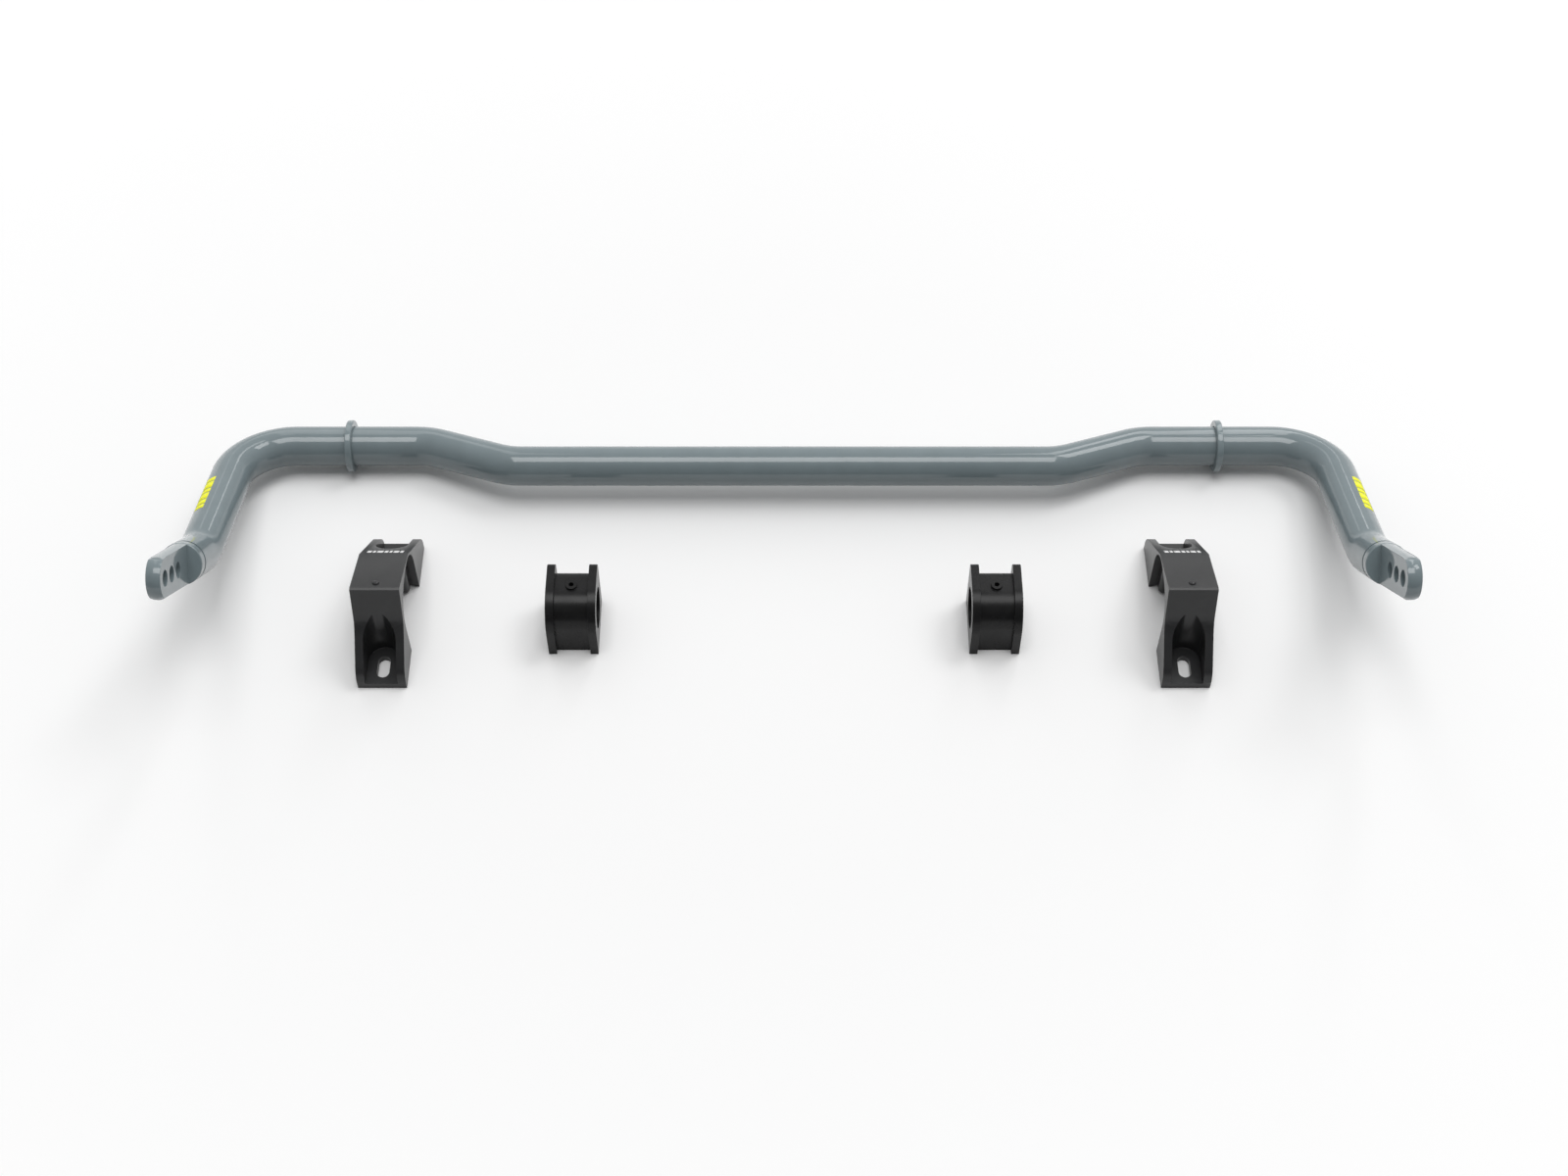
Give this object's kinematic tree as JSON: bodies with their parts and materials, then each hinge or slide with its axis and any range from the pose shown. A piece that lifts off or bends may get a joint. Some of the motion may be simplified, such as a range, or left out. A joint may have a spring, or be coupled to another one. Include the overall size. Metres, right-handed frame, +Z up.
{
  "type": "sway bar",
  "caption": "Round steel sway bar with cranked middle, drilled flat ends and collars, laid out with its flanged bushes and slotted saddle brackets.",
  "frame": {"origin": "on the floor at the middle of the layout: midway between the arms, and midway between the paddle tips in front and the collars behind", "axes": "+X to the right along the bar, +Y to the back from the brackets to the bar, +Z up from the floor"},
  "size_m": [0.9272, 0.2602, 0.157],
  "materials": {
    "bar_coat": "gloss grey powder coat",
    "bracket_black": "satin black anodised",
    "bush_black": "satin black polyurethane",
    "collar_coat": "gloss grey powder coat",
    "end_fitting_coat": "gloss grey powder coat",
    "grease_plug_black": "black oxide"
  },
  "bodies": {
    "mounts": {"left_bracket": "bracket_black", "left_bush": "bush_black", "left_grease_plug": "grease_plug_black", "right_bracket": "bracket_black", "right_bush": "bush_black", "right_grease_plug": "grease_plug_black"},
    "bar": {"bar_tube": "bar_coat", "left_collar": "collar_coat", "left_end_fitting": "end_fitting_coat", "right_collar": "collar_coat", "right_end_fitting": "end_fitting_coat"}
  },
  "joints": [
    {"name": "bar_turn", "type": "hinge", "parent": "mounts", "child": "bar", "pos_m": [0, 0.10888, 0.0212], "axis": [-1, 0, 0], "range_deg": [-16, 25]}
  ]
}
